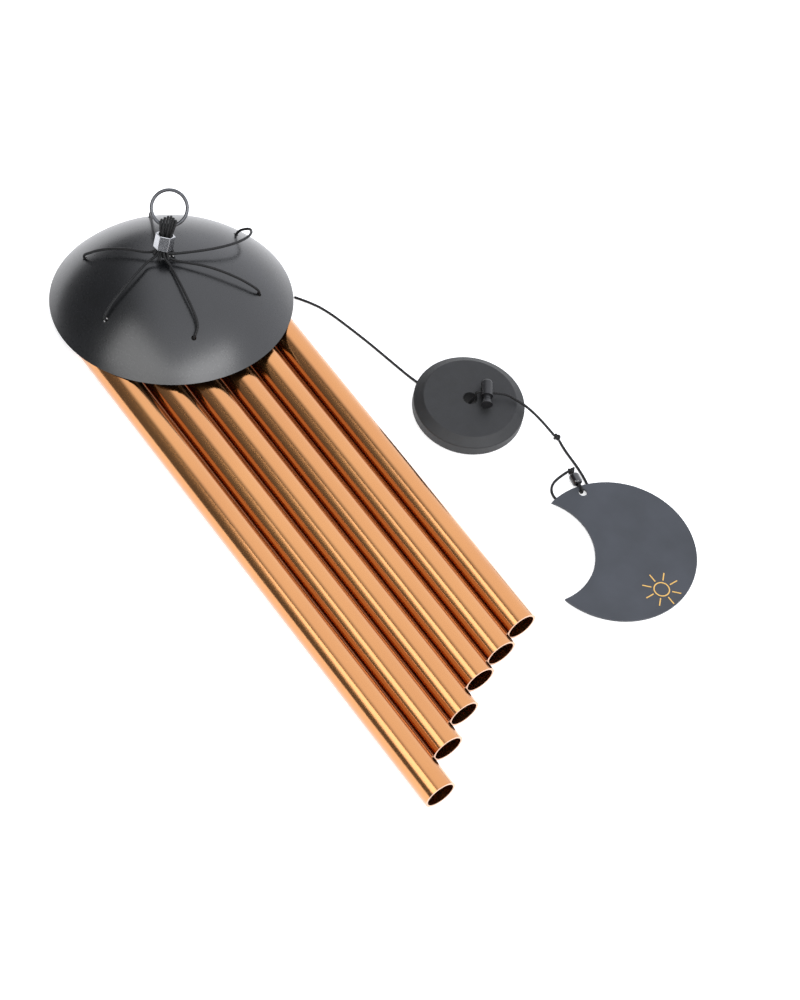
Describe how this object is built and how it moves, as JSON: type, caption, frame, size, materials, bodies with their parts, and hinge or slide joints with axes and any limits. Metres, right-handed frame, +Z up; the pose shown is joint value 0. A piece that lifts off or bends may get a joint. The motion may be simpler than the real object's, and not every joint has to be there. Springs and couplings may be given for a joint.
{
  "type": "wind chime",
  "caption": "Hanging chime laid flat: copper tubes corded under a black dome with a ring, a round striker with a cord lock and a crescent wind catcher.",
  "frame": {"origin": "on the table under the middle of the rigid pieces as they lie", "axes": "+X along the tubes towards their open ends, +Y from the tubes towards the striker, +Z up from the table"},
  "size_m": [0.4789, 0.2777, 0.091],
  "materials": {
    "dome_paint": "satin black powder coat on a spun sheet metal dome",
    "ring_nickel": "dark nickel plated steel wire",
    "sleeve_aluminium": "bright drawn aluminium, pressed to a hexagon",
    "tube_copper": "copper coloured anodised, satin",
    "pin_steel": "plain steel rod",
    "cord_black": "black braided polyester cord",
    "striker_black": "textured matte black lacquer",
    "lock_plastic": "matte black moulded",
    "spring_steel": "bright wire",
    "bead_black": "glossy black",
    "catcher_slate": "slate grey matte anodised sheet",
    "motif_gold": "gold coloured print"
  },
  "bodies": {
    "dome": {"dome_cap": "dome_paint", "crimp_sleeve": "sleeve_aluminium", "dome_knot": "cord_black", "striker_cord_inner": "cord_black", "tube_1_cord": "cord_black", "tube_2_cord": "cord_black", "tube_3_cord": "cord_black", "tube_4_cord": "cord_black", "tube_5_cord": "cord_black", "tube_6_cord": "cord_black"},
    "ring": {"hanging_ring": "ring_nickel"},
    "tube_1": {"tube_1": "tube_copper", "tube_1_pin": "pin_steel"},
    "tube_2": {"tube_2": "tube_copper", "tube_2_pin": "pin_steel"},
    "tube_3": {"tube_3": "tube_copper", "tube_3_pin": "pin_steel"},
    "tube_4": {"tube_4": "tube_copper", "tube_4_pin": "pin_steel"},
    "tube_5": {"tube_5": "tube_copper", "tube_5_pin": "pin_steel"},
    "tube_6": {"tube_6": "tube_copper", "tube_6_pin": "pin_steel"},
    "striker_line": {"striker_cord": "cord_black", "lock_barrel": "lock_plastic", "lock_spring": "spring_steel", "line_knot": "cord_black"},
    "striker_disc": {"striker": "striker_black"},
    "lock_button": {"lock_plunger": "lock_plastic"},
    "catcher_line": {"catcher_cord": "cord_black", "bead_knot": "cord_black", "bead": "bead_black", "catcher_loop": "cord_black"},
    "wind_catcher": {"catcher": "catcher_slate", "catcher_motif": "motif_gold"}
  },
  "joints": [
    {"name": "ring_swing", "type": "hinge", "parent": "dome", "child": "ring", "pos_m": [-0.17521, -0.05742, 0.07493], "axis": [0.6738, 0.7359, -0.0663], "range_deg": [-45, 45]},
    {"name": "tube_1_swing", "type": "hinge", "parent": "dome", "child": "tube_1", "pos_m": [-0.1532, -0.1237, 0.011], "axis": [0, 1, 0], "range_deg": [0, 80]},
    {"name": "tube_2_swing", "type": "hinge", "parent": "dome", "child": "tube_2", "pos_m": [-0.15445, -0.1006, 0.011], "axis": [0, 1, 0], "range_deg": [0, 80]},
    {"name": "tube_3_swing", "type": "hinge", "parent": "dome", "child": "tube_3", "pos_m": [-0.1583, -0.0775, 0.011], "axis": [0, 1, 0], "range_deg": [0, 80]},
    {"name": "tube_4_swing", "type": "hinge", "parent": "dome", "child": "tube_4", "pos_m": [-0.15211, -0.0544, 0.011], "axis": [0, 1, 0], "range_deg": [0, 80]},
    {"name": "tube_5_swing", "type": "hinge", "parent": "dome", "child": "tube_5", "pos_m": [-0.14128, -0.0313, 0.011], "axis": [0, 1, 0], "range_deg": [0, 80]},
    {"name": "tube_6_swing", "type": "hinge", "parent": "dome", "child": "tube_6", "pos_m": [-0.1411, -0.0082, 0.011], "axis": [0, 1, 0], "range_deg": [0, 80]},
    {"name": "striker_line_swing", "type": "hinge", "parent": "dome", "child": "striker_line", "pos_m": [-0.127, 0.0212, 0.001], "axis": [0, 1, 0], "range_deg": [0, 80]},
    {"name": "striker_spin", "type": "hinge", "parent": "striker_line", "child": "striker_disc", "pos_m": [0.0095, 0.068, 0.0085], "axis": [0, 0, 1], "continuous": true},
    {"name": "lock_press", "type": "slide", "parent": "striker_line", "child": "lock_button", "axis": [-0.8028, 0.5962, 0], "range_m": [0, 0.0017], "stiffness_N_per_m": 400, "springref_m": -0.001, "deforming": ["lock_spring"]},
    {"name": "catcher_line_swing", "type": "hinge", "parent": "striker_line", "child": "catcher_line", "pos_m": [0.0586, 0.1066, 0.0026], "axis": [0, 0, 1], "range_deg": [-10, 25]},
    {"name": "catcher_turn", "type": "hinge", "parent": "catcher_line", "child": "wind_catcher", "pos_m": [0.1036, 0.0938, 0.003], "axis": [0, 0, 1], "range_deg": [-10, 10]}
  ]
}
